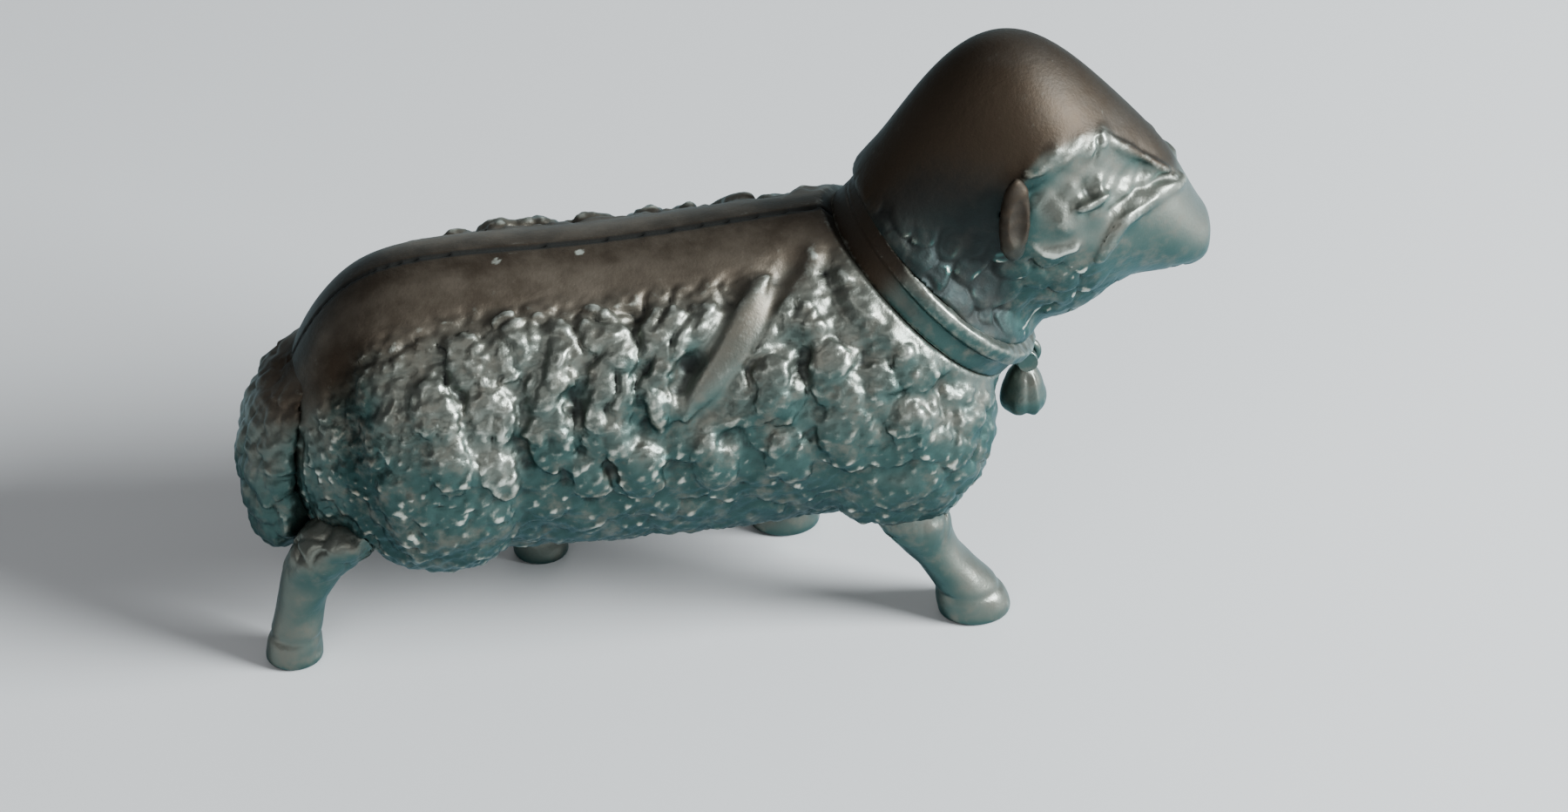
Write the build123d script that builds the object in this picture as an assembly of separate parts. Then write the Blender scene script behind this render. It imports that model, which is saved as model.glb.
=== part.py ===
from build123d import *
import math
import os

# A small cast-metal sheep, walking, with a collar and a hanging bell. The trunk is a hollow casting
# in two halves that meet along the spine. The head, ears, tail and legs are castings of their own,
# pegged on, and the collar hides the joint of the neck. The bell swings on a pin at the throat.
# Millimetres. +X runs to the head, +Y to the animal's left and +Z up from the ground.

# Trunk
body_length = 48.8          # rump to the front of the neck joint
back_height = 29.0          # ground to the top of the back
body_width = 19.2           # across the barrel
wall = 1.8                  # of the hollow trunk

# Side outline of the trunk from the rump to the neck: top along, top up, bottom along, bottom up,
# and half width, as shares of the length, the height and half the width above
trunk_shares = [
    (0.004, 0.620, 0.000, 0.430, 0.27),
    (0.024, 0.715, 0.016, 0.330, 0.52),
    (0.084, 0.862, 0.061, 0.248, 0.81),
    (0.187, 0.940, 0.177, 0.214, 0.96),
    (0.374, 0.958, 0.374, 0.203, 1.00),
    (0.539, 0.980, 0.580, 0.218, 1.00),
    (0.639, 1.000, 0.723, 0.238, 0.99),
    (0.692, 1.010, 0.858, 0.292, 0.97),
    (0.733, 1.017, 0.950, 0.440, 0.91),
    (0.768, 1.027, 1.000, 0.644, 0.82),
]
hollow_start_row = 2        # row of the outline where the hollow of the trunk begins

# Haunch and shoulder masses on each flank, placed along, out and up
haunch_length = 15.4
haunch_width = 11.0
haunch_height = 17.0
haunch_place_shares = (0.210, 0.54, 0.530)
shoulder_length = 13.4
shoulder_width = 11.0
shoulder_height = 16.0
shoulder_place_shares = (0.825, 0.48, 0.540)

# Smooth fold behind each shoulder, from its top to its foot
fold_length = 11.5
fold_width = 3.2
fold_depth = 3.0
fold_top_shares = (0.650, 0.53, 0.940)
fold_foot_shares = (0.534, 0.96, 0.700)

# Main locks of the fleece on each flank: along and up the body, size, and lean of the lower end to
# the head, as shares of the length, the height, the sizes of a lock and a right angle
lock_length = 5.2
lock_width = 3.7
lock_depth = 1.5
lock_tilt = 9.0             # degrees that the lower end of a lock is lifted
lock_shares = [
    (0.305, 0.848, 0.90, -0.05),
    (0.363, 0.832, 1.05, 0.15),
    (0.431, 0.842, 1.00, 0.12),
    (0.512, 0.848, 0.90, -0.25),
    (0.560, 0.866, 0.75, -0.35),
    (0.353, 0.755, 0.75, 0.20),
    (0.440, 0.752, 0.80, 0.05),
    (0.496, 0.738, 0.80, 0.15),
    (0.428, 0.660, 0.90, 0.20),
    (0.352, 0.645, 0.85, 0.10),
    (0.476, 0.560, 0.95, 0.05),
    (0.404, 0.550, 0.80, 0.00),
    (0.570, 0.570, 0.85, 0.10),
    (0.692, 0.872, 0.75, 0.25),
    (0.732, 0.762, 1.00, 0.10),
    (0.655, 0.742, 0.90, 0.00),
    (0.787, 0.725, 0.80, 0.05),
    (0.840, 0.760, 0.75, 0.10),
    (0.752, 0.620, 1.15, 0.10),
    (0.828, 0.645, 0.75, 0.05),
    (0.670, 0.575, 0.85, 0.00),
    (0.256, 0.822, 0.85, 0.10),
    (0.206, 0.744, 0.85, 0.05),
    (0.276, 0.715, 0.95, -0.10),
    (0.222, 0.625, 0.85, 0.00),
    (0.290, 0.590, 0.80, 0.05),
]

# Neck joint and head
head_length = 24.2          # nape to the end of the muzzle
head_rise = 22.7            # front of the neck joint to the crown
head_width = 12.6
spigot_length = 5.0
fit_clearance = 0.05        # between a peg and its socket, all round

# Outline of the head from the neck to the muzzle: top along, top up, bottom along, bottom up and
# half width, as shares of the head's length, rise and half width
head_shares = [
    (0.059, 0.640, 0.485, 0.067, 1.07),
    (0.208, 0.868, 0.555, 0.098, 0.95),
    (0.431, 1.001, 0.638, 0.133, 1.00),
    (0.629, 0.882, 0.720, 0.190, 0.86),
    (0.795, 0.701, 0.803, 0.221, 0.67),
    (0.917, 0.519, 0.910, 0.221, 0.49),
    (0.993, 0.395, 0.987, 0.247, 0.30),
]
muzzle_round = 0.8

# Raised lines of the face on each side, from a start to an end, along and up the head, and the eye
face_ridge_shares = [
    (0.45, 0.715, 0.66, 0.755),     # brow
    (0.66, 0.755, 0.86, 0.575),     # edge of the wool cap
    (0.65, 0.410, 0.71, 0.515),     # cheek
    (0.70, 0.515, 0.885, 0.540),    # edge of the muzzle
]
face_ridge_width = 1.0
face_ridge_depth = 1.1
eye_shares = (0.585, 0.595, 0.655, 0.612)
eye_width = 1.1
eye_depth = 1.2

# Ears: drooping leaves on the sides of the head, placed along, out and up
ear_length = 6.4
ear_width = 2.2
ear_thickness = 1.6
ear_place_shares = (0.407, 1.05, 0.576)
ear_lean = 18.0             # degrees that the tip swings forward of plumb
ear_hollow_share = 0.62
ear_peg_radius = 0.5
ear_peg_length = 3.6

# Tail: outer along, outer up, inner along, inner up and half width, from the tip to the root, as
# shares of the trunk's length and height and half the tail's width
tail_width = 10.4
tail_shares = [
    (-0.026, 0.240, 0.004, 0.246, 0.36),
    (-0.053, 0.300, 0.039, 0.320, 0.88),
    (-0.063, 0.420, 0.051, 0.415, 1.00),
    (-0.048, 0.560, 0.059, 0.530, 1.00),
    (0.006, 0.716, 0.077, 0.640, 0.84),
    (0.060, 0.838, 0.098, 0.760, 0.55),
    (0.090, 0.886, 0.110, 0.845, 0.22),
]
tail_peg_row = 3            # section that the peg starts in
tail_peg_depth_share = 0.2  # of the tail's thickness, from its outer face to the start of the peg
tail_peg_radius = 1.2
tail_peg_length = 6.0

# Legs: hip and foot along the body and foot out, as shares of its length and half the track
leg_inset = 3.9             # from the widest part of the flank to the middle of a foot
hip_height = 11.0
leg_thickness = 3.8
leg_place_shares = {
    "right_front_leg": (0.818, 0.936, 1.0),
    "left_front_leg": (0.795, 0.700, 1.0),
    "right_hind_leg": (0.128, -0.004, 1.0),
    "left_hind_leg": (0.180, 0.342, 0.72),
}
# Leg sections from the sole to the hip: up, towards the hip, half length and half width, as shares
# of the hip's height, the stride and half the thickness
front_leg_shares = [
    (0.00, -0.02, 1.30, 1.08),
    (0.14, 0.02, 1.26, 1.08),
    (0.38, 0.30, 1.00, 1.00),
    (0.70, 0.70, 1.26, 1.20),
    (1.00, 1.00, 1.90, 1.45),
]
hind_leg_shares = [
    (0.00, -0.02, 1.02, 0.95),
    (0.12, 0.00, 0.98, 0.92),
    (0.42, 0.10, 0.86, 0.86),
    (0.74, 0.34, 1.20, 1.05),
    (1.00, 1.00, 1.65, 1.25),
]
hoof_round = 0.35
leg_peg_radius = 1.2
leg_peg_length = 2.6

# Collar
collar_width = 2.6
collar_thickness = 0.5      # of the flat lower band, half way up the neck
collar_drop = 0.25          # thinner than that at the nape and thicker at the throat
collar_bead_width = 1.1     # of the raised upper band
collar_bead_rise = 0.4
collar_seat_depth = 0.5     # sunk into the neck
collar_round = 0.25

# Bell, its loop, and the pin between two lugs on the collar
bell_height = 3.5
bell_radius = 1.6
bell_outline_shares = [(0.34, 0.00), (0.66, 0.20), (0.90, 0.50), (1.00, 0.78), (0.84, 0.96), (0.60, 1.00)]
bell_mouth_share = 0.55     # of the radius
bell_mouth_depth = 1.6
loop_radius = 0.82          # to the middle of the wire
loop_wire_radius = 0.32
bell_pin_radius = 0.42
bell_pin_head_radius = 0.66
bell_pin_head_height = 0.25
lug_thickness = 0.7
lug_gap = 1.0
lug_radius = 0.70
swing_clearance = 0.25      # between the bell and the collar as it swings

# Pins inside
seam_pin_radius = 0.6
seam_pin_length = 4.0
seam_boss_radius = 1.5
seam_boss_length = 3.4
seam_pin_rows = (3, 5)      # rows of the trunk's outline that carry a pin above and below
neck_pin_radius = 0.5

overrun = 30.0              # cuts run past what they cut by this
oval_points = 8             # that the outline of a section runs through

ACROSS = Vector(0, 1, 0)
SIDES = {"right": -1, "left": 1}


def body_point(along_share, up_share):
    return Vector(along_share * body_length, 0, up_share * back_height)


def flank_point(place_shares, side):
    along_share, out_share, up_share = place_shares
    return body_point(along_share, up_share) + ACROSS * (side * out_share * body_width / 2)


track_width = body_width - leg_inset * 2
neck_top = body_point(*trunk_shares[-1][:2])
neck_bottom = body_point(*trunk_shares[-1][2:4])
neck_half_width = trunk_shares[-1][4] * body_width / 2
neck_half_height = (neck_top - neck_bottom).length / 2
throat_direction = (neck_bottom - neck_top).normalized()
neck_axis = throat_direction.cross(ACROSS)
neck_plane = Plane((neck_top + neck_bottom) / 2, x_dir=ACROSS, z_dir=neck_axis)

collar_face = neck_half_height - collar_seat_depth + fit_clearance + collar_thickness + collar_drop
lug_reach = loop_radius + loop_wire_radius + swing_clearance
crown_drop = lug_radius + swing_clearance
band_middle = neck_plane.offset(-collar_bead_width / 2).origin
bell_pivot = band_middle + throat_direction * (collar_face + lug_reach)


def head_point(along_share, up_share):
    return Vector(neck_top.X + along_share * head_length, 0, neck_bottom.Z + up_share * head_rise)


def oval(outer, inner, half_width, inset=0):
    """Oval face across the mid-plane, standing between two points of a side outline."""
    plane = Plane((outer + inner) / 2, x_dir=ACROSS, z_dir=ACROSS.cross(outer - inner))
    half_height = (outer - inner).length / 2
    points = []
    for step in range(oval_points):
        angle = 2 * math.pi * step / oval_points
        points.append(((half_width - inset) * math.sin(angle), (inset - half_height) * math.cos(angle)))
    return plane * make_face(Spline(points, periodic=True))


def ellipsoid(length, width, height, plane):
    return plane.location * scale(Sphere(1), by=(length / 2, width / 2, height / 2))


def rod(start, direction, radius, length):
    return extrude(Plane(start, z_dir=direction) * Circle(radius), length)


def neck_block(start, height, inset, drop=0):
    """Oval block along the neck's axis, smaller than the joint by the inset and dropped to the throat."""
    face = Ellipse(neck_half_width - inset, neck_half_height - inset)
    return extrude(neck_plane.offset(start) * Pos(0, -drop) * face, height)


def half_space(side):
    return Pos(0, side * overrun, 0) * Box(overrun * 8, overrun * 2, overrun * 8)


def ovals(rows, point, width, inset=0):
    """Sections of a side outline whose rows are shares, placed by the point function."""
    sections = []
    for outer_along, outer_up, inner_along, inner_up, width_share in rows:
        outer = point(outer_along, outer_up)
        inner = point(inner_along, inner_up)
        sections.append(oval(outer, inner, width_share * width / 2, inset))
    return sections


def barrel():
    return loft(ovals(trunk_shares, body_point, body_width))


def hollow():
    return loft(ovals(trunk_shares[hollow_start_row:], body_point, body_width, wall))


def shoulder_fold(side):
    top = flank_point(fold_top_shares, side)
    foot = flank_point(fold_foot_shares, side)
    run = top - foot
    plane = Plane((top + foot) / 2, x_dir=run, z_dir=run.cross(Vector(1, 0, 0)))
    return ellipsoid(fold_length, fold_width, fold_depth, plane)


def trunk_outside(side):
    """Outer form of one half of the trunk: the barrel with its haunch, shoulder and fold."""
    haunch_plane = Plane(flank_point(haunch_place_shares, side))
    haunch = ellipsoid(haunch_length, haunch_width, haunch_height, haunch_plane)
    shoulder_plane = Plane(flank_point(shoulder_place_shares, side))
    shoulder = ellipsoid(shoulder_length, shoulder_width, shoulder_height, shoulder_plane)
    return (barrel() + haunch + shoulder + shoulder_fold(side)) & half_space(side)


def lock(outside, shares, side):
    """Lock of the fleece that lies on the flank with its lower end lifted."""
    along_share, up_share, size_share, lean_share = shares
    start = body_point(along_share, up_share) + ACROSS * (side * overrun)
    place, outward = outside.find_intersection_points(Axis(start, ACROSS * -side))[0]
    lean = math.pi / 2 * lean_share
    downward = Vector(math.sin(lean), 0, -math.cos(lean))
    plane = Plane(place, x_dir=downward, z_dir=outward).rotated((0, -lock_tilt, 0))
    return ellipsoid(lock_length * size_share, lock_width * size_share, lock_depth * size_share, plane)


def seam_pin_places():
    """Middles of the locating pins, under the back and over the belly."""
    depth = wall + seam_boss_radius / 2
    places = []
    for index in seam_pin_rows:
        outer_along, outer_up, inner_along, inner_up, _ = trunk_shares[index]
        back = body_point(outer_along, outer_up)
        belly = body_point(inner_along, inner_up)
        inward = (belly - back).normalized()
        places += [back + inward * depth, belly - inward * depth]
    return places


def seam_pins():
    return [rod(place - ACROSS * (seam_pin_length / 2), ACROSS, seam_pin_radius, seam_pin_length)
            for place in seam_pin_places()]


def neck_pin(clearance=0):
    """Cross pin through the neck joint, under the collar."""
    middle = neck_plane.origin - neck_axis * (collar_width / 4)
    start = middle - ACROSS * neck_half_width
    pin = rod(start, ACROSS, neck_pin_radius + clearance, neck_half_width * 2)
    return pin & neck_block(-collar_width, collar_width, collar_seat_depth)


def collar_space():
    """Groove round the neck joint that the collar lies in."""
    start = -collar_width / 2 - fit_clearance
    height = collar_width + fit_clearance * 2
    outer = neck_block(start, height, collar_seat_depth - collar_thickness - overrun)
    return outer - neck_block(start, height, collar_seat_depth)


def tail_form():
    return loft(ovals(tail_shares, body_point, tail_width))


def tail_peg(clearance=0):
    """Peg from the thick of the tail forward through the rump."""
    outer_along, outer_up, inner_along, inner_up, _ = tail_shares[tail_peg_row]
    outer = body_point(outer_along, outer_up)
    start = outer + (body_point(inner_along, inner_up) - outer) * tail_peg_depth_share
    return rod(start, Vector(1, 0, 0), tail_peg_radius + clearance, tail_peg_length + clearance)


def leg_side(name):
    return SIDES[name.split("_")[0]]


def leg_stations(name):
    """Middle, half length and half width of each section of a leg, from the sole to the hip."""
    hip_share, foot_share, out_share = leg_place_shares[name]
    rows = front_leg_shares if "front" in name else hind_leg_shares
    stations = []
    for up_share, lean_share, long_share, wide_share in rows:
        along_share = foot_share + (hip_share - foot_share) * lean_share
        out = leg_side(name) * (out_share + (1 - out_share) * lean_share) * track_width / 2
        middle = Vector(along_share * body_length, out, up_share * hip_height)
        stations.append((middle, long_share * leg_thickness / 2, wide_share * leg_thickness / 2))
    return stations


def leg_peg(name, clearance=0):
    """Bent peg up the middle of the leg, from the shin round the knee and on past the hip."""
    shin, knee, hip = [station[0] for station in leg_stations(name)[-3:]]
    radius = leg_peg_radius + clearance
    lower = rod(shin, knee - shin, radius, (knee - shin).length)
    upper = rod(knee, hip - knee, radius, (hip - knee).length + leg_peg_length + clearance)
    return lower + upper + Pos(knee) * Sphere(radius)


def leg(name, trunk, tail):
    sections = [Pos(middle) * Ellipse(long, wide) for middle, long, wide in leg_stations(name)]
    form = loft(sections)
    sole = form.faces().sort_by(Axis.Z)[0]
    form = fillet(sole.edges(), hoof_round)
    return form - trunk - tail + leg_peg(name)


def ear_plane(side):
    along_share, out_share, up_share = ear_place_shares
    place = head_point(along_share, up_share) + ACROSS * (side * out_share * head_width / 2)
    return Plane(place, x_dir=(0, 0, -1), z_dir=ACROSS * side).rotated((0, 0, -side * ear_lean))


def ear_peg(side, clearance=0):
    plane = ear_plane(side)
    return rod(plane.origin, plane.z_dir * -1, ear_peg_radius + clearance, ear_peg_length + clearance)


def ear(side, head):
    """Leaf with a hollowed outer face, seated on the side of the head."""
    plane = ear_plane(side)
    leaf = ellipsoid(ear_length, ear_width, ear_thickness, plane)
    hollow_size = [size * ear_hollow_share for size in (ear_length, ear_width, ear_thickness)]
    hollow = ellipsoid(*hollow_size, plane.offset(ear_thickness / 2))
    return leaf - hollow - head + ear_peg(side)


def head_form():
    joint = oval(neck_top, neck_bottom, neck_half_width)
    form = loft([joint] + ovals(head_shares, head_point, head_width))
    muzzle_end = form.faces().sort_by(Axis.X)[-1]
    return fillet(muzzle_end.edges(), muzzle_round)


def head_surface(form, along_share, up_share, side):
    start = head_point(along_share, up_share) + ACROSS * (side * overrun)
    return form.find_intersection_points(Axis(start, ACROSS * -side))[0][0]


def face_ridge(form, shares, width, depth, side):
    """Long low swelling that lies on the side of the head between two of its points."""
    start = head_surface(form, *shares[:2], side)
    end = head_surface(form, *shares[2:], side)
    run = end - start
    plane = Plane((start + end) / 2, x_dir=run, z_dir=run.cross(ACROSS.cross(run)))
    return ellipsoid(run.length + width, width, depth, plane)


def head(form):
    casting = form
    for side in SIDES.values():
        for shares in face_ridge_shares:
            casting += face_ridge(form, shares, face_ridge_width, face_ridge_depth, side)
        casting += face_ridge(form, eye_shares, eye_width, eye_depth, side)
    casting += neck_block(-spigot_length, spigot_length, wall + fit_clearance)
    casting -= collar_space()
    casting -= neck_pin(fit_clearance)
    for side in SIDES.values():
        casting -= ear_peg(side, fit_clearance)
    return casting


def trunk_half(side, outside):
    half = outside + [lock(outside, shares, side) for shares in lock_shares] - hollow()
    for place in seam_pin_places():
        half += rod(place, ACROSS * side, seam_boss_radius, seam_boss_length)
    for place in seam_pin_places():
        hole_depth = seam_pin_length / 2 + fit_clearance
        half -= rod(place, ACROSS * side, seam_pin_radius + fit_clearance, hole_depth)
    half -= neck_block(-spigot_length - fit_clearance, spigot_length + fit_clearance, wall)
    half -= collar_space()
    half -= neck_pin(fit_clearance)
    half -= tail_peg(fit_clearance)
    for name in leg_place_shares:
        if leg_side(name) == side:
            half -= leg_peg(name, fit_clearance)
    return half


def collar():
    """Strap with a raised bead along its upper edge and two lugs for the bell's pin."""
    inset = collar_seat_depth - fit_clearance
    band = neck_block(-collar_width / 2, collar_width, inset - collar_thickness, collar_drop)
    bead_start = collar_width / 2 - collar_bead_width
    bead_inset = inset - collar_thickness - collar_bead_rise
    bead = neck_block(bead_start, collar_bead_width, bead_inset, collar_drop)
    bead = fillet(bead.edges(), collar_round)
    strap = band + bead - neck_block(-collar_width, collar_width * 2, inset)
    for side in SIDES.values():
        strap += lug(side)
    return strap - rod(bell_pivot - ACROSS * overrun, ACROSS, bell_pin_radius + fit_clearance, overrun * 2)


def lug(side):
    start = bell_pivot + ACROSS * (side * lug_gap / 2)
    plane = Plane(start, x_dir=throat_direction * -1, z_dir=ACROSS * side)
    arm_length = lug_reach + collar_thickness / 2
    arm = Rectangle(arm_length, lug_radius * 2, align=(Align.MIN, Align.CENTER))
    return extrude(plane * (Circle(lug_radius) + arm), lug_thickness)


def bell_pin():
    """Plain pin with a riveted head outside each lug."""
    half_length = lug_gap / 2 + lug_thickness
    pin = rod(bell_pivot - ACROSS * half_length, ACROSS, bell_pin_radius, half_length * 2)
    for side in SIDES.values():
        pin += rod(bell_pivot + ACROSS * (side * half_length), ACROSS * side, bell_pin_head_radius,
                   bell_pin_head_height)
    return pin


def bell():
    """Drop-shaped bell with a hollow mouth, hung by a cast loop."""
    crown = bell_pivot - Vector(0, 0, crown_drop)
    plane = Plane(crown, x_dir=(1, 0, 0), z_dir=ACROSS * -1)
    points = [(out * bell_radius, -down * bell_height) for out, down in bell_outline_shares]
    side_line = Spline(points)
    foot_line = Polyline(points[-1], (0, -bell_height), (0, 0), points[0])
    body = revolve(plane * make_face([side_line, foot_line]), Axis(crown, (0, 0, 1)))
    mouth_plane = Plane(crown - Vector(0, 0, bell_height))
    mouth = ellipsoid(bell_radius * bell_mouth_share * 2, bell_radius * bell_mouth_share * 2,
                      bell_mouth_depth * 2, mouth_plane)
    loop = Plane(bell_pivot, z_dir=ACROSS).location * Torus(loop_radius, loop_wire_radius)
    return body - mouth + loop


def assemble():
    """Every piece by its node's name, in the modelling frame."""
    outsides = {name: trunk_outside(side) for name, side in SIDES.items()}
    tail = tail_form()
    skull = head_form()
    pieces = {"head": head(skull), "collar": collar(), "bell": bell(), "bell_pin": bell_pin(),
              "neck_pin": neck_pin()}
    for name, side in SIDES.items():
        pieces[name + "_trunk_half"] = trunk_half(side, outsides[name])
        pieces[name + "_ear"] = ear(side, skull)
    for name in leg_place_shares:
        pieces[name] = leg(name, outsides[name.split("_")[0]], tail)
    pieces["tail"] = tail - outsides["right"] - outsides["left"] + tail_peg()
    pieces["seam_pins"] = Compound(children=seam_pins())
    return pieces


def footprint_origin(pieces):
    """Middle of the whole figure's box, on the ground."""
    boxes = [piece.bounding_box() for piece in pieces.values()]
    rear = min(box.min.X for box in boxes)
    front = max(box.max.X for box in boxes)
    right = min(box.min.Y for box in boxes)
    left = max(box.max.Y for box in boxes)
    return Vector((rear + front) / 2, (right + left) / 2, min(box.min.Z for box in boxes))


pieces = assemble()
origin = footprint_origin(pieces)
os.makedirs("parts", exist_ok=True)
for name, piece in pieces.items():
    export_step(piece.moved(Location(origin * -1)), "parts/" + name + ".step")
print("bell pivot", bell_pivot - origin)
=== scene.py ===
# %% [markdown]
# # A cast sheep with a collar and a bell
# The real object is a small metal ornament: a walking sheep with fleece cast into its flanks, a back
# and a crown worn smooth by hands, and a bell that hangs from the collar. The measured model comes
# first and stays as it is. Each step below takes one of its pieces, gives it the skin of the real
# casting, and lets it ride on the same body, so the bell still swings.

# %% Load the measured model
import math

import bpy
import numpy as np
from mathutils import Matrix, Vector
from mathutils.kdtree import KDTree


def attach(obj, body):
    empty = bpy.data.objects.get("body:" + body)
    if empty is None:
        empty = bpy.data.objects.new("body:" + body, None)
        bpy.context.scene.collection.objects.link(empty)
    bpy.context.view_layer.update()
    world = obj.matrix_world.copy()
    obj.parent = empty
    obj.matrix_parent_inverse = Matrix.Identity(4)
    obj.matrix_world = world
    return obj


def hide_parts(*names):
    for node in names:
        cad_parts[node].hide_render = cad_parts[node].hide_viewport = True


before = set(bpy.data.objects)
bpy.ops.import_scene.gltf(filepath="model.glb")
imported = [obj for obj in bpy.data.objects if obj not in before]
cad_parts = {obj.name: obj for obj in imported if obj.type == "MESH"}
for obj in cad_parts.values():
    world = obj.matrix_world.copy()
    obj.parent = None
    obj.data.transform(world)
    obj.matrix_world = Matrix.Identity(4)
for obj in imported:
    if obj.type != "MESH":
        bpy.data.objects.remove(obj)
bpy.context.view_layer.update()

MM = 0.001

# %% [markdown]
# ## An even skin to sculpt on
# A casting has no sharp joints between its forms: wax and metal run together. A solid from drawings
# has long thin triangles and crisp creases, which can't take curls, and subdividing keeps them. A
# voxel remesh gives an even skin of small squares instead, and a few passes of smoothing that
# alternate inwards and outwards take off the steps without shrinking the form.

# %% Smooth and fade
def relax(values, edges, passes, inwards=0.5, outwards=0.0):
    """Evens a value or a place over neighbouring points; an outward step after each keeps the size."""
    flat = values.reshape(len(values), -1).copy()
    counts = np.bincount(edges.ravel(), minlength=len(flat)).clip(1)
    for _ in range(passes):
        for step in (inwards, -outwards):
            if step:
                total = np.empty_like(flat)
                for column in range(flat.shape[1]):
                    pull = np.bincount(edges[:, 0], flat[edges[:, 1], column], len(flat))
                    pull += np.bincount(edges[:, 1], flat[edges[:, 0], column], len(flat))
                    total[:, column] = pull / counts
                flat += step * (total - flat)
    return flat.reshape(values.shape)


def fade(low, high, values):
    """0 below low, 1 above high and a smooth rise between; low may be the larger of the two."""
    share = np.clip((values - low) / (high - low), 0, 1)
    return share * share * (3 - 2 * share)


print("a fade from 1 to 3, at 0 to 4:", fade(1, 3, np.arange(5)))

# %% A skin over one piece
NEAR_PASSES = 14     # passes of smoothing that give the near surroundings of a point
SLOPE_PASSES = 24    # passes that leave only the broad slope of the form


class Skin:
    """An evenly meshed copy of one piece of the model, with its places in millimetres."""

    def __init__(self, node, voxel, passes=6):
        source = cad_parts[node]
        self.node = node
        self.piece = bpy.data.objects.new(node + "_cast", source.data.copy())
        bpy.context.scene.collection.objects.link(self.piece)
        remesh = self.piece.modifiers.new("even skin", "REMESH")
        remesh.mode = "VOXEL"
        remesh.voxel_size = voxel * MM
        graph = bpy.context.evaluated_depsgraph_get()
        even = bpy.data.meshes.new_from_object(self.piece.evaluated_get(graph))
        self.piece.modifiers.clear()
        self.piece.data = even
        self.edges = np.empty(len(even.edges) * 2, np.int32)
        even.edges.foreach_get("vertices", self.edges)
        self.edges = self.edges.reshape(-1, 2)
        places = np.empty(len(even.vertices) * 3, np.float32)
        even.vertices.foreach_get("co", places)
        places = places.reshape(-1, 3).astype(float) / MM
        self.places = relax(places, self.edges, passes, inwards=0.5, outwards=0.52)
        self.relief = np.zeros(len(self.places))
        self.rub, self.band, self.lift = np.zeros((3, len(self.places)))
        self.settle()

    def settle(self):
        """Writes the places to the mesh and reads back the direction that each point faces."""
        mesh = self.piece.data
        mesh.vertices.foreach_set("co", (self.places * MM).astype(np.float32).ravel())
        mesh.update()
        facing = np.empty(len(self.places) * 3, np.float32)
        mesh.vertex_normals.foreach_get("vector", facing)
        self.facing = facing.reshape(-1, 3).astype(float)

    def soften(self, share, passes):
        """Rounds the form, by the share at each point."""
        self.places += share * (relax(self.places, self.edges, passes) - self.places)
        self.settle()

    def raise_by(self, height):
        """Moves each point out along the way it faces, in millimetres, but never through the ground."""
        self.places = self.places + self.facing * height[:, None]
        self.places[:, 2] = self.places[:, 2].clip(0)
        self.relief += height
        self.settle()

    def tuck(self, carriers, share, depth, reach):
        """Sinks points, by the share at each, under the skins that carry this piece, if they are in reach."""
        places = np.concatenate([carrier.places for carrier in carriers])
        facing = np.concatenate([carrier.facing for carrier in carriers])
        tree = KDTree(len(places))
        for index, place in enumerate(places):
            tree.insert(place, index)
        tree.balance()
        for index in np.flatnonzero(share > 0):
            under = tree.find(self.places[index])[1]
            proud = (self.places[index] - places[under]) @ facing[under]
            sink = max(proud + depth, 0) * share[index] * fade(reach, 0, proud)
            self.places[index] -= facing[under] * sink
        self.settle()

    def proud_relief(self):
        """How far the raised relief stands proud of its near surroundings, in millimetres."""
        return self.relief - relax(self.relief, self.edges, NEAR_PASSES)

    def proud_form(self):
        """The same for the whole form, with the relief that came from the measured model."""
        return ((self.places - relax(self.places, self.edges, NEAR_PASSES)) * self.facing).sum(1)

    def keep(self, name, values):
        attribute = self.piece.data.attributes.new(name, "FLOAT", "POINT")
        attribute.data.foreach_set("value", np.asarray(values, np.float32))

    def finish(self, material, body="figure", form=True):
        """Keeps what the finish needs at each point, and lets the piece stand for its node."""
        proud = self.proud_form() if form else self.proud_relief()
        # wear: how far a point stands proud, plus rubbing, painted highlights and painted shade
        self.keep("wear_and_painted_light", (proud + self.rub).clip(-1, 1))
        self.keep("band", self.band)
        self.keep("rise", relax(self.facing, self.edges, SLOPE_PASSES)[:, 2] + self.lift)
        for polygon in self.piece.data.polygons:
            polygon.use_smooth = True
        self.piece.data.materials.clear()
        self.piece.data.materials.append(material)
        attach(self.piece, body)
        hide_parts(self.node)
        print(self.node, len(self.piece.data.polygons), "faces, relief mm",
              self.relief.min().round(2), self.relief.max().round(2))


# %% [markdown]
# ## Locks of wool
# The fleece of the real sheep is a field of separate locks. Each is a low dome that hangs a little
# over the one below it, like a tile. The largest come with the measured model, and smaller ones are
# laid over them here. A noise texture would give lumps without edges. Instead the locks are scattered
# evenly over the skin, each one knows which way it hangs, and the highest lock wins at every point.
# That gives the lapped edges and the dark clefts of the casting. A weak spiral on each dome makes it
# read as a curl.

# %% Slow unevenness
def uneven(places, size, seed):
    """A slow unevenness between about -1 and 1, from a few waves in random directions."""
    rng = np.random.default_rng(seed)
    total = np.zeros(len(places))
    for _ in range(8):
        wave = rng.normal(0, 1, 3)
        total += np.sin(places @ (wave / np.linalg.norm(wave)) * (2 * math.pi / size) * rng.uniform(0.6, 1.5)
                        + rng.uniform(0, 2 * math.pi))
    return total / 4


print("unevenness at five places:", uneven(np.eye(5, 3), 2.0, 1).round(2))

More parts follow.
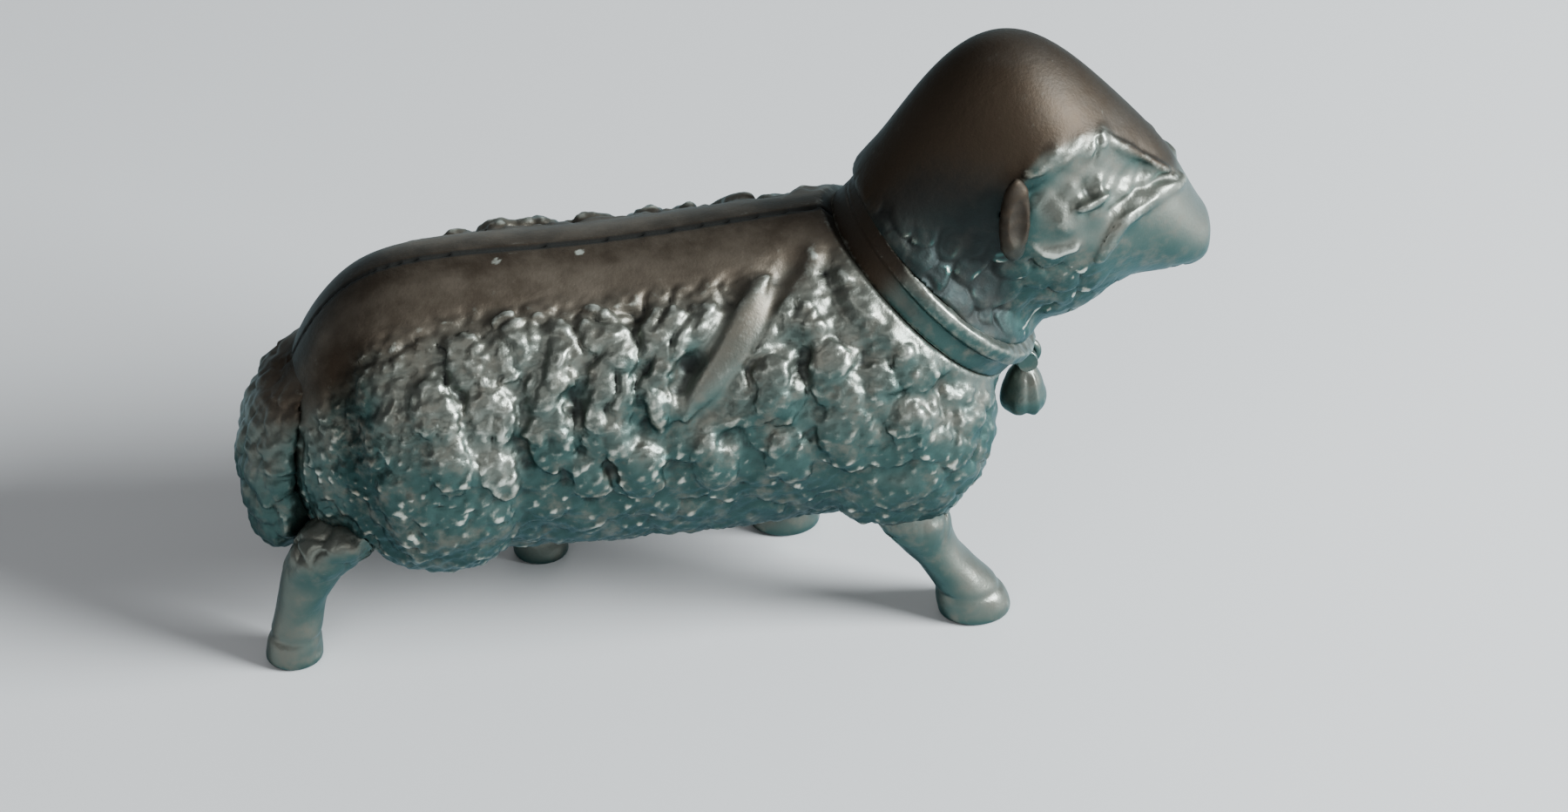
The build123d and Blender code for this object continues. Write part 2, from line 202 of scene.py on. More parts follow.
# %% Scatter and raise the locks
class Locks:
    """Locks of wool scattered over the points of a skin that want them."""

    WANTED = 0.25                          # share of wool from which a point may carry a lock
    HANG = np.array([-0.25, 0.0, -1.0])    # down, and a little to the rear
    WINDING = 6.0                          # radians that a curl turns from its middle to its rim
    STRIP = 1.0                            # length that is worked out at a time
    OTHER_WALL = 1.8                       # a point this far under or over a lock is on another wall

    def __init__(self, skin, want, spacing, seed):
        rng = np.random.default_rng(seed)
        chosen = []
        taken = np.empty((0, 3))
        rooms = np.empty(0)
        for index in rng.permutation(np.flatnonzero(want > self.WANTED)):
            gap = np.linalg.norm(taken - skin.places[index], axis=1)
            if not len(gap) or (gap > (rooms + spacing[index]) / 2).all():
                chosen.append(index)
                taken = skin.places[chosen]
                rooms = spacing[chosen]
        self.place = taken
        self.facing = skin.facing[chosen]
        down = self.HANG + rng.normal(0, 0.4, taken.shape)
        down -= self.facing * (down * self.facing).sum(1, keepdims=True)
        self.down = down / np.linalg.norm(down, axis=1, keepdims=True).clip(1e-6)
        self.side = np.cross(self.facing, self.down)
        self.turn = rng.uniform(0, 2 * math.pi, len(taken))
        self.bend = rng.normal(0, 0.35, len(taken))
        self.vary = rng.uniform(0.7, 1.25, len(taken))

    def height(self, skin_places, long, wide, tall, lap, curl, warp=0.3):
        """Height of the locks over each place: a low dome that tips out at its lower end."""
        long, wide = (np.broadcast_to(size, len(self.place)) * np.sqrt(self.vary) for size in (long, wide))
        tall, lap = (np.broadcast_to(size, len(self.place)) * self.vary for size in (tall, lap))
        sway = [uneven(skin_places, 2.6, 7 + axis) for axis in range(3)]
        places = skin_places + warp * np.stack(sway, axis=1)
        heights = np.zeros(len(places))
        strips = np.floor(places[:, 0] / self.STRIP)
        for strip in np.unique(strips):
            here = np.flatnonzero(strips == strip)
            middle = (strip + 0.5) * self.STRIP
            near = np.flatnonzero(np.abs(self.place[:, 0] - middle) < self.STRIP / 2 + long.max() * 1.3)
            if not len(near):
                continue
            away = places[here][:, None, :] - self.place[near][None]
            along = (away * self.down[near]).sum(-1) / long[near]
            across = (away * self.side[near]).sum(-1) / wide[near] + self.bend[near] * along ** 2
            through = np.abs((away * self.facing[near]).sum(-1))
            reach = np.hypot(along, across)
            dome = tall[near] * (1 - reach ** 3)
            spiral = np.cos(np.arctan2(across, along) + reach * self.WINDING + self.turn[near])
            dome += curl * spiral * reach * (1 - reach).clip(0) * 3
            dome = np.where(reach < 1, dome, -1.2 * (reach - 1))
            dome += lap[near] * (along + 0.3 * across).clip(-1.2, 1.2)
            dome = np.where(through > self.OTHER_WALL, -1, dome)
            heights[here] = dome.max(axis=1).clip(-0.2)
        return heights


# %% [markdown]
# ## Cut and raised lines
# Folds, creases and the lines of the face are long marks that the maker pressed or cut into the
# pattern. They could be drawn into a bump texture, but then the mesh would lack them. So each is a
# short path of points on the right side, with a breadth and a height, where a negative height is a
# groove. The corners of the path are cut twice, which rounds it. The left side repeats each line, so
# the distance is measured with the side folded over.

# %% Lines on the skin
def line_height(places, path, breadth, height):
    """Height of one soft line along a path with its corners cut, the same on both sides of the animal."""
    path = np.array(path)
    for _ in range(2):
        cut = np.stack([path[:-1] * 0.75 + path[1:] * 0.25, path[:-1] * 0.25 + path[1:] * 0.75], axis=1)
        path = np.concatenate([path[:1], cut.reshape(-1, 3), path[-1:]])
    folded = places * [1, 0, 1] - np.abs(places * [0, 1, 0])
    nearest = np.full(len(places), np.inf)
    for start, end in zip(path[:-1], path[1:]):
        run = end - start
        share = ((folded - start) @ run / (run @ run)).clip(0, 1)
        nearest = np.minimum(nearest, np.linalg.norm(folded - start - share[:, None] * run, axis=1))
    return height * np.exp(-(nearest / breadth) ** 2)


steps_away = np.outer(np.arange(3), [0, 0, 1])
print("a line at 0, 1 and 2 breadths:", line_height(steps_away, [(-5, 0, 0), (5, 0, 0)], 1, 1).round(2))

# %% [markdown]
# ## Aged metal
# The metal shows several ages at once, with painted light laid over them. Parts that face up are grey
# and bronze, and flecks of bronze show through. Parts that face down carry a painted blue-green
# reflection, darker still where they face further down, as painted shade. Clefts keep the dark of the
# old finish, and what stands proud is made tan or pale, partly as wear and partly as a painted
# highlight. The top of the back and the crown are worn to a plain brown, mottled darker where they face
# less up, as painted shade. It could be painted on by hand, but all of it follows the form. So the skin
# keeps three numbers at each point: wear (how far it stands proud, with rubbing, painted highlights and
# painted shade added), band (how much hands have rubbed it) and rise (how far it faces up, with painted
# light and shade added). The finish mixes its colours by them, with noise to break up every edge.

# %% Sums with sockets
class Wire:
    """A socket of a material, with sums written as Python sums."""

    def __init__(self, tree, socket=None):
        self.tree = tree
        self.socket = socket

    def node(self, kind, settings=(), inputs=(), output=0):
        """Any node: its settings first, then the values or wires of its sockets."""
        made = self.tree.nodes.new(kind)
        for name, value in dict(settings).items():
            setattr(made, name, value)
        for name, value in dict(inputs).items():
            if isinstance(value, Wire):
                self.tree.links.new(value.socket, made.inputs[name])
            else:
                made.inputs[name].default_value = value
        return Wire(self.tree, made.outputs[output] if made.outputs else None)

    def sum(self, operation, first, second):
        return self.node("ShaderNodeMath", {"operation": operation}, {0: first, 1: second})

    def __add__(self, other):
        return self.sum("ADD", self, other)

    def __radd__(self, other):
        return self.sum("ADD", other, self)

    def __sub__(self, other):
        return self.sum("SUBTRACT", self, other)

    def __rsub__(self, other):
        return self.sum("SUBTRACT", other, self)

    def __mul__(self, other):
        return self.sum("MULTIPLY", self, other)

    def __rmul__(self, other):
        return self.sum("MULTIPLY", other, self)

    def between(self, low, high):
        """0 below low and 1 above high."""
        settings = {"interpolation_type": "SMOOTHSTEP"}
        return self.node("ShaderNodeMapRange", settings, {"Value": self, "From Min": low, "From Max": high})

    def mix(self, first, second):
        """From the first colour to the second as this value goes from 0 to 1."""
        inputs = {"Factor": self, 6: first, 7: second}
        return self.node("ShaderNodeMix", {"data_type": "RGBA"}, inputs, 2)


# %% Colours of the metal
BROWN = (0.165, 0.137, 0.106, 1)
UMBER = (0.049, 0.034, 0.022, 1)
DULL_BROWN = (0.060, 0.051, 0.042, 1)
TAUPE = (0.162, 0.172, 0.148, 1)
BRONZE = (0.160, 0.150, 0.122, 1)
# painted reflection: blue-green for parts that face down, deeper where they face further down, as painted
# shade
TEAL = (0.042, 0.088, 0.081, 1)
DEEP_TEAL = (0.017, 0.043, 0.040, 1)
# pale and gold for high spots: partly wear, partly a painted highlight and painted glints
PALE = (0.560, 0.605, 0.535, 1)
TAN = (0.330, 0.310, 0.250, 1)
GOLD = (0.600, 0.550, 0.370, 1)
DARK = (0.013, 0.012, 0.010, 1)
EDGE_TINT = (0.60, 0.80, 0.88, 1)
print("from dark", DARK[:3], "to pale", PALE[:3])

# %% Aged metal
def aged_metal_with_painted_light(name, gold=0.25, brown=BROWN, mottle=0.2):
    """Metal that is brown where it is rubbed, with a painted blue-green reflection below, dark in clefts and
    pale on high spots, partly a painted highlight.
    """
    material = bpy.data.materials.new(name)
    material.use_nodes = True
    tree = material.node_tree
    tree.nodes.clear()
    wire = Wire(tree)
    place = wire.node("ShaderNodeTexCoord", output=3)
    wear_and_painted_light = wire.node("ShaderNodeAttribute", {"attribute_name": "wear_and_painted_light"}, output=2)
    band = wire.node("ShaderNodeAttribute", {"attribute_name": "band"}, output=2)
    rise = wire.node("ShaderNodeAttribute", {"attribute_name": "rise"}, output=2)

    def noise(scale, detail=4.0, rough=0.6):
        """Noise with so many lumps to the metre."""
        return wire.node("ShaderNodeTexNoise", inputs={"Vector": place, "Scale": scale, "Detail": detail,
                                                       "Roughness": rough})

    cloud = noise(160)
    patch = noise(520)
    fleck = noise(1500, 3.0)
    grain = noise(5200, 2.0, 0.5)

    # Parts that face down get a painted blue-green reflection, and a darker one further down as painted
    # shade.
    low = (rise + (cloud - 0.5) * 0.7).between(0.65, -0.1)
    flank = low.mix(TAUPE, TEAL)
    flank = (rise + (patch - 0.5) * 0.9).between(0.05, -0.7).mix(flank, DEEP_TEAL)
    flank = (noise(640).between(0.46, 0.72) * 0.6).mix(flank, BRONZE)
    # The rubbed brown is mottled by noise and painted darker where it faces less up, as painted shade.
    mottle_and_painted_shade = cloud * 0.6 + patch * 0.4 + (rise - 0.8) * 0.4
    rubbed = mottle_and_painted_shade.between(0.46 - mottle, 0.46 + mottle).mix(UMBER, brown)
    colour = (band + (patch - 0.5) * 0.35).between(0.1, 0.9).mix(flank, rubbed)
    cleft = (wear_and_painted_light + (fleck - 0.5) * 0.10).between(-0.03, -0.28) * 0.9
    colour = cleft.mix(colour, DARK)
    # High spots turn tan, pale or gold, partly as wear and partly as a painted highlight with painted glints.
    high = (wear_and_painted_light + (fleck - 0.5) * 0.26 + (patch - 0.5) * 0.12).between(0.05, 0.25)
    tint = ((cloud - 0.5) * 2.0).between(0.1, 0.5) * gold
    scuffs_and_highlight = (rise + (patch - 0.5) * 0.8).between(-0.35, 0.45).mix(TAN, tint.mix(PALE, GOLD))
    colour = high.mix(colour, scuffs_and_highlight)
    roughness = 0.30 + patch * 0.16 + band * 0.18 + cleft * 0.25 - high * 0.06
    metallic = 0.82 - cleft * 0.4
    height = grain * 0.35 + fleck * 0.65
    bump = wire.node("ShaderNodeBump", inputs={"Strength": 0.35, "Distance": 0.00012, "Height": height})
    shader = wire.node("ShaderNodeBsdfPrincipled", inputs={
        "Base Color": colour, "Roughness": roughness, "Metallic": metallic, "Normal": bump,
        "Specular IOR Level": 0.5, "Specular Tint": EDGE_TINT})
    wire.node("ShaderNodeOutputMaterial", inputs={"Surface": shader})
    return material


fleece_metal = aged_metal_with_painted_light("aged fleece metal with painted light", mottle=0.24)
smooth_metal = aged_metal_with_painted_light("aged smooth metal with painted light", gold=0.5, brown=DULL_BROWN, mottle=0.26)
print("finishes", [m.name for m in bpy.data.materials])

# %% [markdown]
# ## The trunk
# Both halves of the trunk carry the same kinds of wool: small tight curls on the haunch, tall wavy
# locks on the upper flank, flat lapped ones below and round beads on the shoulder. One pattern for
# all would look like cloth, so the size of a lock depends on where it is. The top of the back is
# rubbed smooth, and so is the fold behind the shoulder, and a mask keeps those places clear. The wool
# also fades at the seam, where the halves meet. Low on the flank only the crests of the locks are
# made bright, in broken runs, partly as wear and partly as a painted highlight. The front of the
# haunch gets a painted highlight, and the crease before the tail is painted darker, as painted shade.

# %% Places and marks on the trunk
SECTION_X, SECTION_Z = (-29, -11, 6, 14), (15.2, 16.8, 18.9, 22.0)    # its core
BAND_X, BAND_Y = (-29, -23, -15, -7, 0, 6, 14), (6.0, 5.2, 4.6, 4.6, 4.5, 3.4, 2.6)    # its smooth top
NECK_MIDDLE, NECK_RADIUS = np.array([13.89, 0, 24.23]), 7.9
NECK_AXIS, THROAT = np.array([0.700, 0, 0.714]), np.array([0.714, 0, -0.700])
FOLD = [(4.2, -4.6, 27.8), (0.9, -6.6, 25.6), (-1.0, -8.2, 23.2), (-2.6, -9.3, 20.8)]
FOLD_REAR = [(0.3, -4.9, 27.1), (-1.7, -7.8, 24.9), (-4.0, -9.1, 22.1)]
FOLD_FRONT = [(5.8, -3.8, 28.4), (4.4, -5.2, 27.2), (2.8, -6.8, 25.6), (1.1, -8.3, 23.3)]
NECK_CLEFT = [(6.3, -4.6, 27.8), (6.6, -6.2, 26.7), (7.4, -7.7, 24.7)]
NECK_RIDGE = [(7.7, -5.5, 27.5), (8.9, -7.3, 25.8), (10.9, -8.6, 23.7)]
HAUNCH_CREASE = [(-13.4, -7.2, 23.6), (-13.5, -9.4, 18.2), (-14.0, -8.5, 12.0), (-15.0, -6.5, 8.5)]
TAIL_CREASE = [(-24.9, -5.4, 22.8), (-24.4, -8.0, 19.0), (-23.8, -9.0, 15.0), (-23.2, -8.8, 11.0)]
TRUNK_MARKS = (    # path, breadth and height
    (FOLD, 1.1, -0.70), (FOLD_REAR, 0.7, -0.45), (FOLD_FRONT, 0.8, 0.34),
    (NECK_CLEFT, 0.5, -0.34), (NECK_RIDGE, 0.8, 0.34), (HAUNCH_CREASE, 0.9, -0.35))
# a painted highlight down the front of the haunch, where it faces the light
HAUNCH_SHINE, HAUNCH_SHINE_BREADTH = -15.4, 1.5
SPECKS, SPECK_SIZE = [(-14.5, -1.2, 27.6), (-9.2, -1.05, 27.8)], 0.22
print(len(TRUNK_MARKS), "marks on each half of the trunk")

# %% Kinds of wool
WOOL = {    # millimetres on the haunch, the upper flank, the lower flank and the shoulder
    "spacing": (1.25, 1.9, 2.2, 2.2),
    "long": (1.05, 2.4, 1.75, 1.75),
    "wide": (0.95, 0.90, 1.6, 1.55),
    "tall": (0.12, 0.34, 0.12, 0.18),
    "lap": (0.12, 0.10, 0.22, 0.20),
}


def wool_size(places, kind):
    """A size for each place, blended between the four kinds of wool."""
    haunch, upper, lower, shoulder = WOOL[kind]
    x, z = places[:, 0], places[:, 2]
    flank = lower + (upper - lower) * fade(18.0, 20.5, z)
    size = haunch + (flank - haunch) * fade(-14.5, -12.5, x)
    return size + (shoulder - size) * fade(0.5, 4.0, x)


print("sizes of a lock", sorted(WOOL))

# %% Trunk
# the finest that keeps each half under 200,000 triangles
TRUNK_VOXEL = 0.212    # size of a voxel of the trunk's skin, in millimetres


def trunk_outside(skin):
    """1 on the outer face of a half, and 0 in its hollow, on its rim and under the collar."""
    x, y, z = skin.places.T
    out = np.stack([np.zeros_like(x), y, z - np.interp(x, SECTION_X, SECTION_Z)], axis=1)
    out /= np.linalg.norm(out, axis=1, keepdims=True)
    outside = fade(0.1, 0.5, (out * skin.facing).sum(1))
    outside = np.maximum(outside, fade(0.3, 0.6, -skin.facing[:, 0]) * (x < -25))
    outside = np.maximum(outside, fade(0.3, 0.6, skin.facing[:, 0]) * (x > 10))
    outside *= fade(-1.2, -2.4, (skin.places - NECK_MIDDLE) @ NECK_AXIS)
    return outside


def sculpt_trunk(node, seed):
    skin = Skin(node, TRUNK_VOXEL)
    x, y, z = skin.places.T
    outside = trunk_outside(skin)
    edge = np.interp(x, BAND_X, BAND_Y)
    smooth = fade(0.6, -0.6, np.abs(y) - edge) * fade(17, 20, z)
    fold = line_height(skin.places, FOLD, 1.7, 1.0)
    woolly = outside * (1 - smooth) * (1 - fade(0.35, 0.6, fold)) * fade(0.1, 0.9, np.abs(y))
    locks = Locks(skin, woolly, wool_size(skin.places, "spacing"), seed)
    sizes = [wool_size(locks.place, kind) for kind in ("long", "wide", "tall", "lap")]
    wool = locks.height(skin.places, *sizes, curl=0.05, warp=0.35)
    crimp = 0.08 * uneven(skin.places, 0.9, seed) + 0.07 * uneven(skin.places, 1.7, seed + 5)
    height = woolly * (wool - 0.15 + crimp)
    for path, breadth, tall in TRUNK_MARKS:
        height += outside * line_height(skin.places, path, breadth, tall)
    groove = outside * line_height(skin.places, TAIL_CREASE, 1.4, 1.0)
    height -= groove * 0.6
    skin.raise_by(height)

    # The front of the haunch gets a painted highlight, and the fold is made lighter, partly as wear and
    # partly as a painted highlight.
    shine = np.exp(-((x - HAUNCH_SHINE) / HAUNCH_SHINE_BREADTH) ** 2)
    scuffs_and_highlight = shine * fade(11, 16, z) * fade(25.5, 22, z) + 0.5 * fold
    skin.rub = 0.04 * outside * scuffs_and_highlight - 0.40 * fade(0.45, 0.2, np.abs(y))
    # The crease before the tail is sunk to darker colours, as painted shade.
    skin.lift = 0.3 * scuffs_and_highlight - 1.2 * groove - 0.5 * fade(3.0, 0.8, np.abs(y)) * fade(18, 22, z)
    # Low crests are made bright, partly as wear and partly as a painted highlight.
    runs = fade(-0.1, 0.6, uneven(skin.places, 2.5, seed + 9))
    crests = woolly * fade(21, 16, z) * fade(0.03, 0.10, skin.proud_relief()) * runs
    skin.rub += 0.14 * crests
    skin.lift += 0.5 * crests
    chip = 1 + 0.6 * uneven(skin.places, 0.5, seed)
    for speck in SPECKS:
        skin.rub += 0.4 * chip * np.exp(-(np.linalg.norm(skin.places - speck, axis=1) / SPECK_SIZE) ** 2)
    rubbed = fade(4.5, -2.0, np.abs(y) - edge) * fade(16, 22, z)
    skin.band = np.maximum(rubbed, 0.6 * fade(0.4, 0.8, fold) * fade(20, 26, z))
    skin.finish(fleece_metal)
    return skin


right_trunk = sculpt_trunk("right_trunk_half", 11)
left_trunk = sculpt_trunk("left_trunk_half", 12)

# %% [markdown]
# ## Head, ears and tail
# The head has a plain rubbed crown that ends in a brow line. Below it the cheek is modelled with a
# few soft ridges, and the throat has small locks down to the collar. The ridges are lines on the
# skin, as on the trunk, made ragged by a slow unevenness. The ears are small leaves, and more passes
# of smoothing take off their crisp rims. The tail is one woolly lobe. As a piece of its own it would
# show an edge at its root, so its top is sunk under the skin of the trunk.

# %% Marks of the face
FACE = [(19.6, -6.2, 33.2), (22.0, -5.6, 33.6), (24.6, -4.8, 33.2), (26.6, -3.6, 32.8)]
BROW = [(18.4, -6.1, 34.2), (20.3, -5.7, 35.6), (21.9, -5.2, 35.9), (23.8, -4.2, 35.9)]
BROW_NICK = [(23.6, -4.5, 36.0), (23.3, -4.9, 34.6)]
CAP_EDGE = [(23.8, -4.2, 35.9), (26.1, -3.5, 34.1), (29.1, -2.2, 31.6)]
MUZZLE_RIM = [(29.8, -1.6, 31.0), (27.3, -4.1, 31.2), (25.5, -5.0, 30.5), (24.3, -5.4, 29.3),
              (24.0, -5.3, 27.9)]
MUZZLE_GROOVE = [(29.2, -2.3, 31.9), (26.8, -4.2, 32.0), (24.6, -5.2, 31.2)]
EYE_LID = [(23.9, -5.4, 33.4), (23.7, -5.5, 32.4), (23.3, -5.6, 31.6)]
EYE_SLIT = [(23.0, -5.7, 32.9), (22.7, -5.8, 31.9)]
CHEEK = [(21.1, -6.2, 31.2), (21.6, -6.2, 30.9)]
CRESCENT = [(19.1, -7.0, 30.0), (19.8, -6.6, 29.2), (20.6, -6.2, 28.8), (22.0, -6.0, 29.2)]
FACE_MARKS = (    # path, breadth and height
    (FACE, 1.4, -0.45), (BROW, 0.8, 0.30), (CAP_EDGE, 0.7, 0.10), (BROW_NICK, 0.25, -0.30),
    (MUZZLE_RIM, 0.45, 0.34), (MUZZLE_GROOVE, 0.32, -0.30), (EYE_LID, 0.4, 0.24),
    (EYE_SLIT, 0.35, -0.22), (CHEEK, 0.8, 0.34), (CRESCENT, 0.42, 0.40))
THROAT_X, THROAT_Z = (8, 14, 19, 23, 26), (33.0, 31.0, 30.0, 28.4, 25.0)    # top of the wool
CROWN_X = (6, 12, 18, 20, 22, 24, 26, 29, 33)    # foot of the crown
CROWN_Z = (30, 32, 34.2, 35.4, 35.8, 35.8, 34.0, 31.4, 29)
print(len(FACE_MARKS), "marks on each side of the face")

# %% Head
def sculpt_head():
    skin = Skin("head", 0.15)
    skin.soften(fade(29.0, 31.0, skin.places[:, :1]), passes=60)
    x, y, z = skin.places.T
    along, down = (skin.places - NECK_MIDDLE) @ NECK_AXIS, (skin.places - NECK_MIDDLE) @ THROAT
    outside = fade(1.2, 2.2, along)
    throat = outside * fade(0.2, -1.6, z - np.interp(x, THROAT_X, THROAT_Z))
    locks = Locks(skin, throat, np.full(len(x), 1.5), 21)
    wool = locks.height(skin.places, long=1.15, wide=1.0, tall=0.10, lap=0.12, curl=0.04)
    height = throat * (wool - 0.06)
    height += 0.6 * fade(0.6, 1.2, along) * fade(3.5, 1.5, along) * fade(1.0, 5.0, down)
    ragged = 1 + 0.35 * uneven(skin.places, 1.5, 23)
    for path, breadth, tall in FACE_MARKS:
        height += outside * ragged * line_height(skin.places, path, breadth, tall)
    crown = z - np.interp(x, CROWN_X, CROWN_Z)
    skin.band = fade(-2.4 + 2.2 * fade(18.0, 20.0, x), 1.3, crown)
    face = fade(18.8, 20.2, x) * (1 - throat) * (1 - skin.band)
    height += face * 0.06 * uneven(skin.places, 1.8, 22) * fade(28.5, 25.5, x)
    # The face is lifted to lighter colours and the back of the head and the neck are sunk to darker ones, as
    # painted light and painted shade.
    skin.lift = 0.30 * face - 0.8 * fade(22, 14, x)
    skin.raise_by(height)

    # The neck behind the head is painted dark, as painted shade, through the same dark as the clefts.
    nape = fade(19.6, 17.0, x) * fade(38.0, 32.0, z)
    skin.rub = -0.25 * nape * fade(1.5, 4.5, np.abs(y))
    # A painted highlight along the brow, partly wear.
    skin.rub += 0.05 * line_height(skin.places, BROW, 1.2, 1.0)
    # Crests of the throat wool and the crescent under the cheek are made pale, partly as wear and partly as a
    # painted highlight.
    runs = fade(0.3, 0.8, uneven(skin.places, 2.0, 27))
    crests = throat * fade(0.01, 0.05, skin.proud_relief()) * runs
    crests += 0.4 * line_height(skin.places, CRESCENT, 0.5, 1.0)
    skin.rub += 0.4 * crests
    skin.lift += 0.8 * crests
    skin.finish(smooth_metal)


sculpt_head()

# %% Ears
def sculpt_ear(node):
    skin = Skin(node, 0.1, passes=4)
    skin.soften(0.8, passes=40)
    z = skin.places[:, 2]
    outer = fade(6.2, 6.8, np.abs(skin.places[:, 1]))
    skin.raise_by(outer * 0.07 * uneven(skin.places, 1.2, 25))
    skin.band = 0.5 + 0.45 * fade(29, 32, z)
    skin.rub -= 0.14
    skin.lift -= 0.4
    skin.finish(smooth_metal)


sculpt_ear("right_ear")
sculpt_ear("left_ear")

# %% Tail
def sculpt_tail():
    skin = Skin("tail", 0.18)
    z = skin.places[:, 2]
    woolly = fade(22.0, 19.5, z)
    locks = Locks(skin, woolly, np.full(len(woolly), 1.6), 31)
    wool = locks.height(skin.places, long=1.3, wide=1.15, tall=0.24, lap=0.22, curl=0.05)
    skin.raise_by(woolly * (wool - 0.14 + 0.06 * uneven(skin.places, 0.9, 32)))
    skin.tuck([right_trunk, left_trunk], fade(18.5, 22.0, z), depth=0.3, reach=40)
    skin.band = fade(15.5, 20.5, z)
    skin.lift = -0.5 * fade(3.0, 0.8, np.abs(skin.places[:, 1])) * fade(18, 22, z)
    skin.finish(fleece_metal, form=False)


sculpt_tail()

# %% [markdown]
# ## Legs
# The legs are plain tapering castings with a hoof. Where they leave the fleece a few locks run on to
# the thigh, and the skin there is sunk a little under the trunk's, so that no thin edge stands off. A
# shallow groove marks the top of the hoof. The legs could stay as smooth as the solids are, but a
# slow unevenness keeps them from looking turned on a lathe.

# %% Legs
HOOF_TOP, HOOF_GROOVE = 2.2, 0.3


def sculpt_leg(node, seed):
    skin = Skin(node, 0.15)
    z = skin.places[:, 2]
    thigh = fade(6.4, 8.6, z)
    locks = Locks(skin, thigh, np.full(len(z), 1.5), seed)
    wool = locks.height(skin.places, long=1.2, wide=1.05, tall=0.16, lap=0.16, curl=0.04)
    height = thigh * (wool - 0.05) + 0.07 * uneven(skin.places, 3.0, seed) * fade(0.3, 1.2, z)
    height -= 0.12 * np.exp(-((z - HOOF_TOP) / HOOF_GROOVE) ** 2)
    skin.raise_by(height)
    skin.tuck([right_trunk, left_trunk], fade(5.5, 7.0, z), depth=0.15, reach=1.0)
    # The fronts of the hooves are made pale, partly as wear and partly as a painted highlight on the side
    # that faces the lamp.
    skin.rub = 0.07 * fade(2.0, 1.2, z) * fade(0.1, 0.9, skin.facing[:, 0])
    skin.lift += 0.2
    skin.finish(smooth_metal, form=False)


for number, leg in enumerate(("right_front_leg", "left_front_leg", "right_hind_leg", "left_hind_leg")):
    sculpt_leg(leg, 41 + number)

# %% [markdown]
# ## Collar, bell and pins
# The collar is a strap with a bright cast bead along its upper edge. At the nape it is worn flush with
# the neck, so its outer face is drawn to the neck's radius there. The bell is a plain drop on a loop
# over the pin, with a rib and a groove down each side of its front. The pins are plain rods that
# hardly show. They could get a skin too, but the measured shape is the real one, so they only take
# the finish.

# %% Collar
def sculpt_collar():
    skin = Skin("collar", 0.13, passes=3)
    away = skin.places - NECK_MIDDLE
    along, down, out = away @ NECK_AXIS, away @ THROAT, np.hypot(away @ THROAT, away[:, 1])
    bead = fade(0.1, 0.5, along) * fade(-7.0, -4.0, down)
    spread = (skin.facing @ THROAT * down + skin.facing[:, 1] * away[:, 1]) / out
    flush = fade(-3.5, -6.5, down) * fade(0.2, 0.7, spread)
    height = bead * (0.02 * uneven(skin.places, 0.9, 51) + 0.05 * uneven(skin.places, 2.2, 52))
    skin.raise_by(height + flush * (NECK_RADIUS - out))
    # The bead is made pale, partly as wear and partly as a painted highlight.
    skin.rub = bead * 0.05
    skin.band = fade(-3.0, -6.0, down)
    skin.finish(smooth_metal)


sculpt_collar()

# %% Bell
BELL_MIDDLE = np.array([20.41, 0, 14.5])
RIB_TURN, RIB_BREADTH = 1.05, 0.16
GROOVE_TURN, GROOVE_BREADTH = 1.50, 0.18


def sculpt_bell():
    skin = Skin("bell", 0.09, passes=3)
    away = skin.places - BELL_MIDDLE
    turn = np.abs(np.arctan2(away[:, 1], away[:, 0]))
    body = fade(0.4, 1.0, np.hypot(away[:, 0], away[:, 1])) * fade(16.0, 15.4, skin.places[:, 2])
    rib = np.exp(-((turn - RIB_TURN) / RIB_BREADTH) ** 2)
    rib -= np.exp(-((turn - GROOVE_TURN) / GROOVE_BREADTH) ** 2)
    skin.raise_by(body * (0.10 * rib + 0.03 * uneven(skin.places, 1.4, 61)))
    skin.finish(smooth_metal, "bell")


sculpt_bell()

# %% Pins
pin_metal = aged_metal_with_painted_light("pin metal")
for node in ("bell_pin", "seam_pins", "neck_pin"):
    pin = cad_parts[node]
    pin.data.materials.clear()
    pin.data.materials.append(pin_metal)
print("pins keep their shape, in", pin_metal.name)

# %% [markdown]
# ## Floor, light and camera
# The sheep stands on a plain pale floor. One soft light from the right, a little cool, gives the
# bright edges and the dark left sides of the photograph. A weak one fills from the left, and another
# keeps the far side from going black. A picture of a room could light it too, but three lamps are
# easier to aim. The camera stands at the photograph's angle, which was found by matching the outline
# of the measured model.

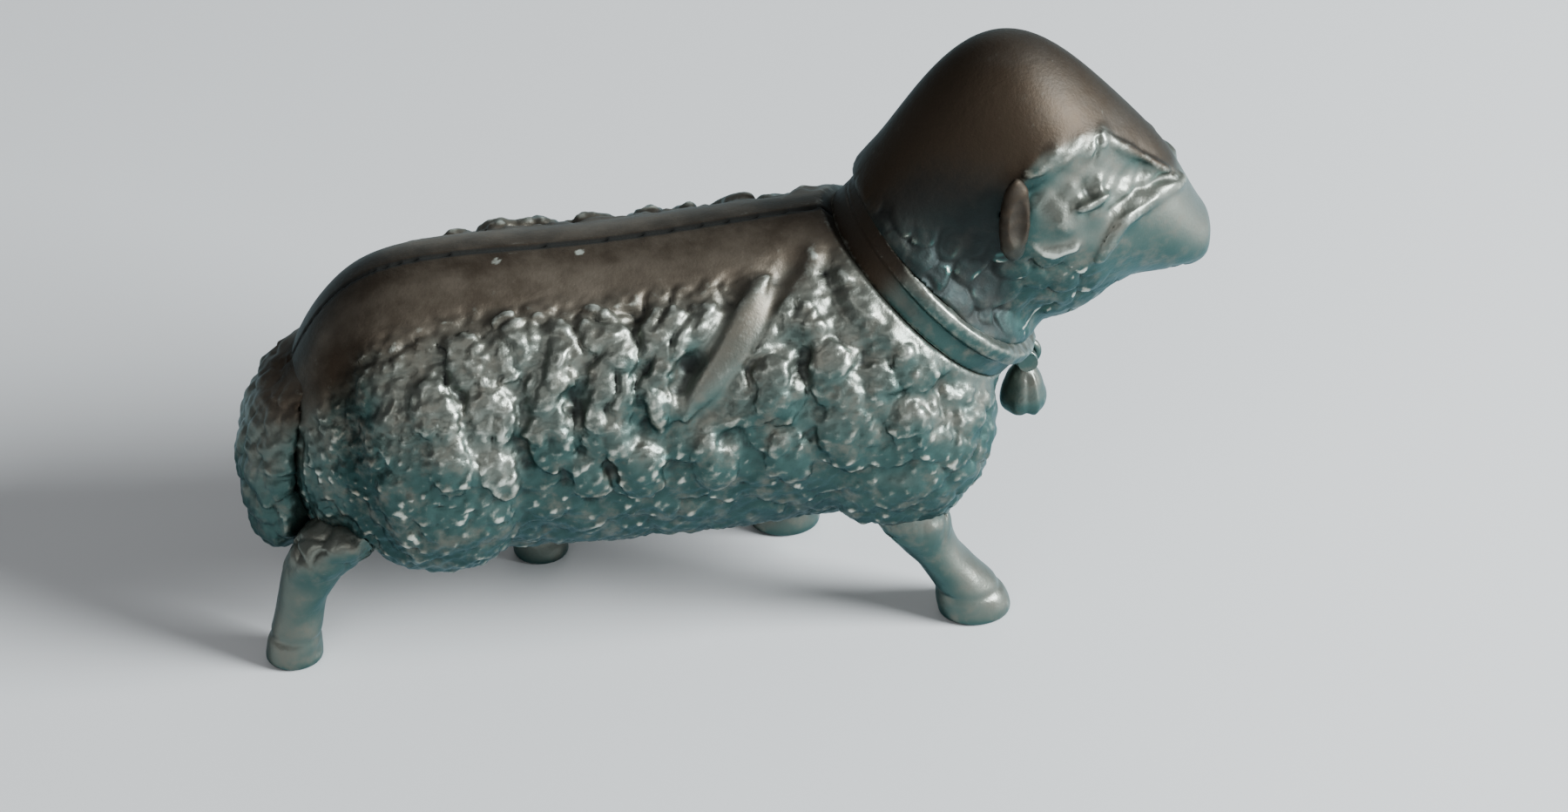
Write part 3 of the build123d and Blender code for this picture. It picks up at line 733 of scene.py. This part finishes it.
# %% Floor
def make_floor():
    mesh = bpy.data.meshes.new("floor")
    reach = 3.0
    mesh.from_pydata([(-reach, -reach, 0), (reach, -reach, 0), (reach, reach, 0), (-reach, reach, 0)], [],
                     [(0, 1, 2, 3)])
    floor = bpy.data.objects.new("floor", mesh)
    bpy.context.scene.collection.objects.link(floor)
    material = bpy.data.materials.new("pale floor")
    material.use_nodes = True
    shader = material.node_tree.nodes["Principled BSDF"]
    shader.inputs["Base Color"].default_value = (0.70, 0.71, 0.72, 1)
    shader.inputs["Roughness"].default_value = 0.9
    mesh.materials.append(material)
    print("floor", 2 * reach, "m wide")


make_floor()

# %% Lights
def soft_light(name, place, aim, size, power, colour=(1, 1, 1)):
    light = bpy.data.lights.new(name, "AREA")
    light.shape = "DISK"
    light.size = size
    light.energy = power
    light.color = colour
    lamp = bpy.data.objects.new(name, light)
    bpy.context.scene.collection.objects.link(lamp)
    lamp.location = place
    lamp.rotation_euler = (Vector(aim) - Vector(place)).to_track_quat("-Z", "Y").to_euler()
    print(name, "light", power, "W")


middle = (0.0, 0.0, 0.018)
soft_light("key", (0.42, -0.15, 0.24), middle, size=0.24, power=8.0, colour=(0.93, 0.98, 1.0))
soft_light("fill", (-0.20, -0.35, 0.30), middle, size=0.40, power=0.5)
soft_light("far side", (0.05, 0.45, 0.22), middle, size=0.40, power=0.3)
world = bpy.data.worlds.new("studio")
world.use_nodes = True
world.node_tree.nodes["Background"].inputs["Color"].default_value = (0.80, 0.84, 0.88, 1)
world.node_tree.nodes["Background"].inputs["Strength"].default_value = 0.22
bpy.context.scene.world = world

# %% Camera
AZIMUTH, ELEVATION, DISTANCE = math.radians(-6.4), math.radians(35.15), 0.2484
TARGET = Vector((0.00418, 0.0, 0.0139))
lens = bpy.data.cameras.new("camera")
lens.lens = 85
lens.sensor_width = 36
lens.clip_start = 0.01
camera = bpy.data.objects.new("camera", lens)
bpy.context.scene.collection.objects.link(camera)
back = Vector((math.sin(AZIMUTH) * math.cos(ELEVATION), -math.cos(AZIMUTH) * math.cos(ELEVATION),
               math.sin(ELEVATION)))
camera.location = TARGET + back * DISTANCE
camera.rotation_euler = (-back).to_track_quat("-Z", "Y").to_euler()
bpy.context.scene.camera = camera
print("camera at mm", [round(c / MM) for c in camera.location])
